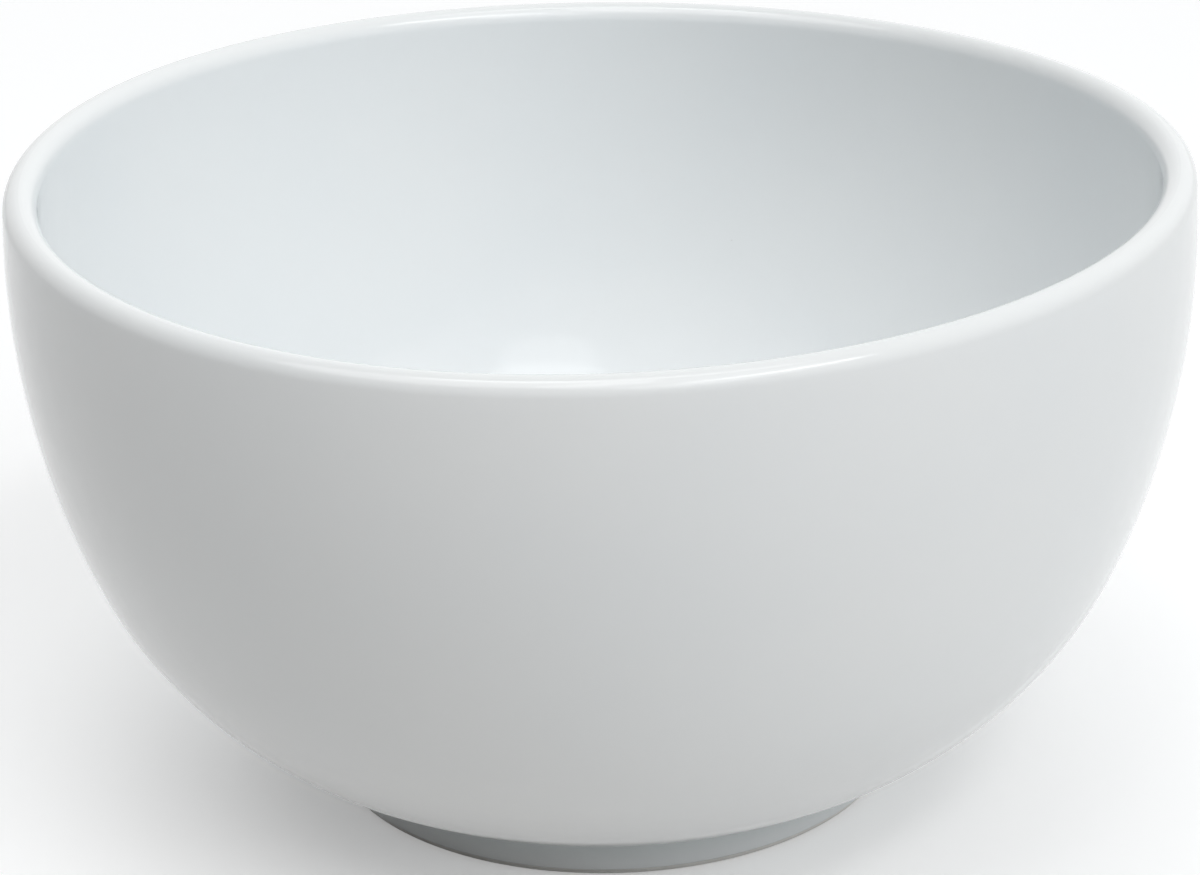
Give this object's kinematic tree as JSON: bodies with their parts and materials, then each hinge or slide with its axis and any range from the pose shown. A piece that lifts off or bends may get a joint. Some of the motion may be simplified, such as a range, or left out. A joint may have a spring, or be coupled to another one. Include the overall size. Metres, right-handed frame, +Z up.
{
  "type": "latte bowl",
  "caption": "Deep round white porcelain bowl, glazed and glossy, with a rounded lip and a low bare-bottomed foot ring, for latte, soup or cereal.",
  "frame": {"origin": "centre of the foot ring's bare standing face, on the axis of the bowl", "axes": "+Z up along the axis of the bowl; X and Y are alike, because every piece is round"},
  "size_m": [0.152, 0.152, 0.084],
  "materials": {
    "porcelain": "bare fired porcelain, ground smooth on the standing face",
    "glaze": "glossy cool white glaze"
  },
  "bodies": {
    "root": {"bowl_body": "porcelain", "foot_ring": "porcelain", "inner_glaze": "glaze", "outer_glaze": "glaze", "well_glaze": "glaze"}
  },
  "joints": []
}
